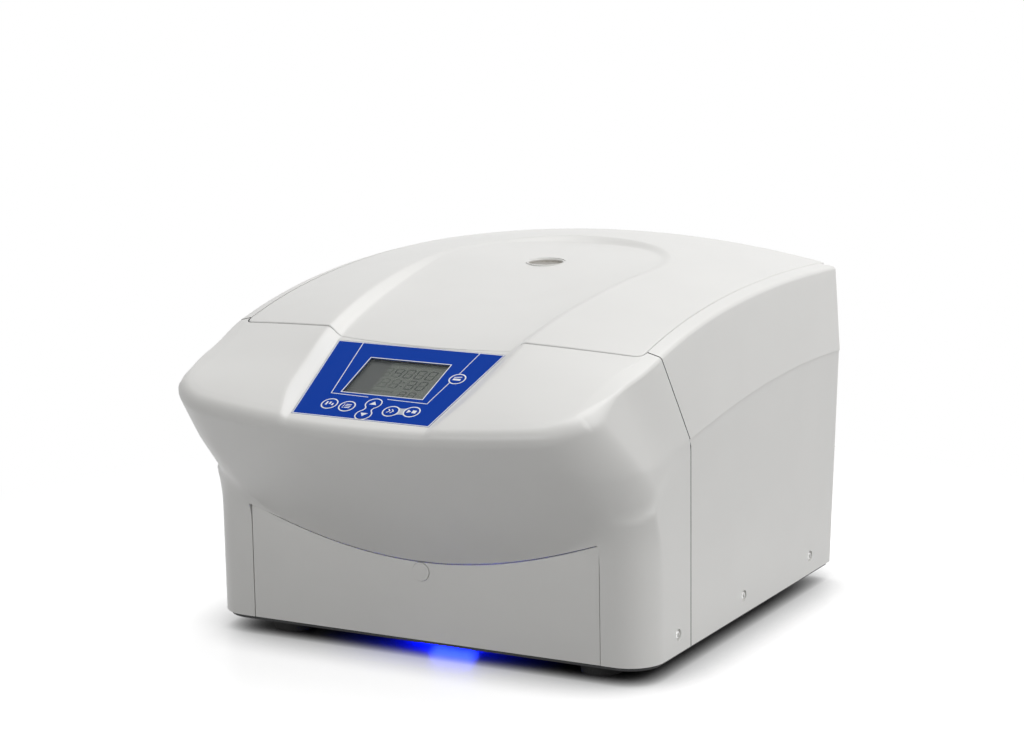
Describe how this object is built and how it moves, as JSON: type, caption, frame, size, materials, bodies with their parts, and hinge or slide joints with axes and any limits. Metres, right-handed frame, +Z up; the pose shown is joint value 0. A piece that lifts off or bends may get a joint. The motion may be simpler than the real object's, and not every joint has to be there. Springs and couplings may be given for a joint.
{
  "type": "laboratory centrifuge",
  "caption": "Bench-top laboratory centrifuge with a hinged crowned lid, sloped keypad with a display, round viewing port, swing-out rotor, lid lock and rubber feet.",
  "frame": {"origin": "on the bench at the centre of the outline", "axes": "+X to the right, +Y to the back, +Z up; the keypad faces -Y"},
  "size_m": [0.37, 0.456, 0.2686],
  "materials": {
    "cover_white": "satin, fine grain",
    "chamber_steel": "brushed",
    "steel": "bright",
    "base_black": "satin black",
    "guard_grey": "satin grey",
    "rubber_black": "matte",
    "seal_grey": "matte",
    "aluminium": "satin",
    "iron_dark": "matte",
    "keypad_blue": "satin foil",
    "display_glass": "clear",
    "port_glass": "clear",
    "led_glass": "blue",
    "lcd_grey": "matte",
    "board_green": "satin",
    "black_plastic": "matte"
  },
  "bodies": {
    "base": {"front_cover": "cover_white", "rear_cover": "cover_white", "access_panel": "cover_white", "hinge_brackets": "steel", "hinge_pins": "steel", "deck": "aluminium", "chamber_bowl": "chamber_steel", "bowl_seal": "rubber_black", "guard_ring": "guard_grey", "motor_posts": "aluminium", "motor_dampers": "rubber_black", "motor_carrier": "aluminium", "motor_housing": "aluminium", "motor_stator": "iron_dark", "motor_bearings": "steel", "lock_frame": "steel", "lock_solenoid": "black_plastic", "release_cable": "black_plastic", "keypad_membrane": "keypad_blue", "keypad_plate": "black_plastic", "lcd_window": "display_glass", "lcd_module": "lcd_grey", "display_board": "board_green", "mains_inlet": "black_plastic", "switch_frame": "black_plastic", "fuse_holder": "black_plastic", "power_board": "board_green", "base_tray": "base_black", "led_window": "led_glass", "side_screws": "steel", "foot_1": "rubber_black", "foot_2": "rubber_black", "foot_3": "rubber_black", "foot_4": "rubber_black"},
    "lid": {"lid_outer": "cover_white", "lid_inner": "cover_white", "port_ring": "cover_white", "port_window": "port_glass", "lid_gasket": "seal_grey", "lid_striker": "steel", "lid_leaves": "steel"},
    "rotor": {"motor_shaft": "steel", "motor_armature": "iron_dark", "rotor_yoke": "aluminium", "rotor_nut": "steel"},
    "bucket_1": {"bucket_1": "aluminium"},
    "bucket_2": {"bucket_2": "aluminium"},
    "bucket_3": {"bucket_3": "aluminium"},
    "bucket_4": {"bucket_4": "aluminium"},
    "lock_hook": {"lock_hook": "steel"},
    "release_plug": {"release_plug": "cover_white"},
    "key_set": {"key_set": "keypad_blue"},
    "key_program": {"key_program": "keypad_blue"},
    "key_up": {"key_up": "keypad_blue"},
    "key_down": {"key_down": "keypad_blue"},
    "key_quick_run": {"key_quick_run": "keypad_blue"},
    "key_start_stop": {"key_start_stop": "keypad_blue"},
    "key_lid": {"key_lid": "keypad_blue"},
    "power_rocker": {"power_rocker": "black_plastic"},
    "fuse_drawer": {"fuse_drawer": "black_plastic"}
  },
  "joints": [
    {"name": "lid_hinge", "type": "hinge", "parent": "base", "child": "lid", "pos_m": [0, 0.224, 0.2381], "axis": [-1, 0, 0], "range_deg": [0, 75]},
    {"name": "rotor_spin", "type": "hinge", "parent": "base", "child": "rotor", "pos_m": [0, 0.064, 0.162], "axis": [0, 0, 1], "continuous": true},
    {"name": "bucket_1_swing", "type": "hinge", "parent": "rotor", "child": "bucket_1", "pos_m": [0.056, 0.064, 0.162], "axis": [0, -1, 0], "range_deg": [0, 90]},
    {"name": "bucket_2_swing", "type": "hinge", "parent": "rotor", "child": "bucket_2", "pos_m": [0, 0.12, 0.162], "axis": [1, 0, 0], "range_deg": [0, 90]},
    {"name": "bucket_3_swing", "type": "hinge", "parent": "rotor", "child": "bucket_3", "pos_m": [-0.056, 0.064, 0.162], "axis": [0, 1, 0], "range_deg": [0, 90]},
    {"name": "bucket_4_swing", "type": "hinge", "parent": "rotor", "child": "bucket_4", "pos_m": [0, 0.008, 0.162], "axis": [-1, 0, 0], "range_deg": [0, 90]},
    {"name": "lock_hook_swing", "type": "hinge", "parent": "base", "child": "lock_hook", "pos_m": [0, -0.08026, 0.158], "axis": [1, 0, 0], "range_deg": [-26.4, 0]},
    {"name": "release_plug_pull", "type": "slide", "parent": "base", "child": "release_plug", "axis": [0, -1, 0], "range_m": [0, 0.008]},
    {"name": "key_set_press", "type": "slide", "parent": "base", "child": "key_set", "axis": [0, 0.377, -0.9262], "range_m": [0, 0.0004], "stiffness_N_per_m": 1500},
    {"name": "key_program_press", "type": "slide", "parent": "base", "child": "key_program", "axis": [0, 0.377, -0.9262], "range_m": [0, 0.0004], "stiffness_N_per_m": 1500},
    {"name": "key_up_press", "type": "slide", "parent": "base", "child": "key_up", "axis": [0, 0.377, -0.9262], "range_m": [0, 0.0004], "stiffness_N_per_m": 1500},
    {"name": "key_down_press", "type": "slide", "parent": "base", "child": "key_down", "axis": [0, 0.377, -0.9262], "range_m": [0, 0.0004], "stiffness_N_per_m": 1500},
    {"name": "key_quick_run_press", "type": "slide", "parent": "base", "child": "key_quick_run", "axis": [0, 0.377, -0.9262], "range_m": [0, 0.0004], "stiffness_N_per_m": 1500},
    {"name": "key_start_stop_press", "type": "slide", "parent": "base", "child": "key_start_stop", "axis": [0, 0.377, -0.9262], "range_m": [0, 0.0004], "stiffness_N_per_m": 1500},
    {"name": "key_lid_press", "type": "slide", "parent": "base", "child": "key_lid", "axis": [0, 0.377, -0.9262], "range_m": [0, 0.0004], "stiffness_N_per_m": 1500},
    {"name": "power_rocker_tilt", "type": "hinge", "parent": "base", "child": "power_rocker", "pos_m": [-0.1, 0.19617, 0.04919], "axis": [1, 0, 0], "range_deg": [-14, 0]},
    {"name": "fuse_drawer_slide", "type": "slide", "parent": "base", "child": "fuse_drawer", "axis": [0, 0.9957, -0.0928], "range_m": [0, 0.014]}
  ]
}
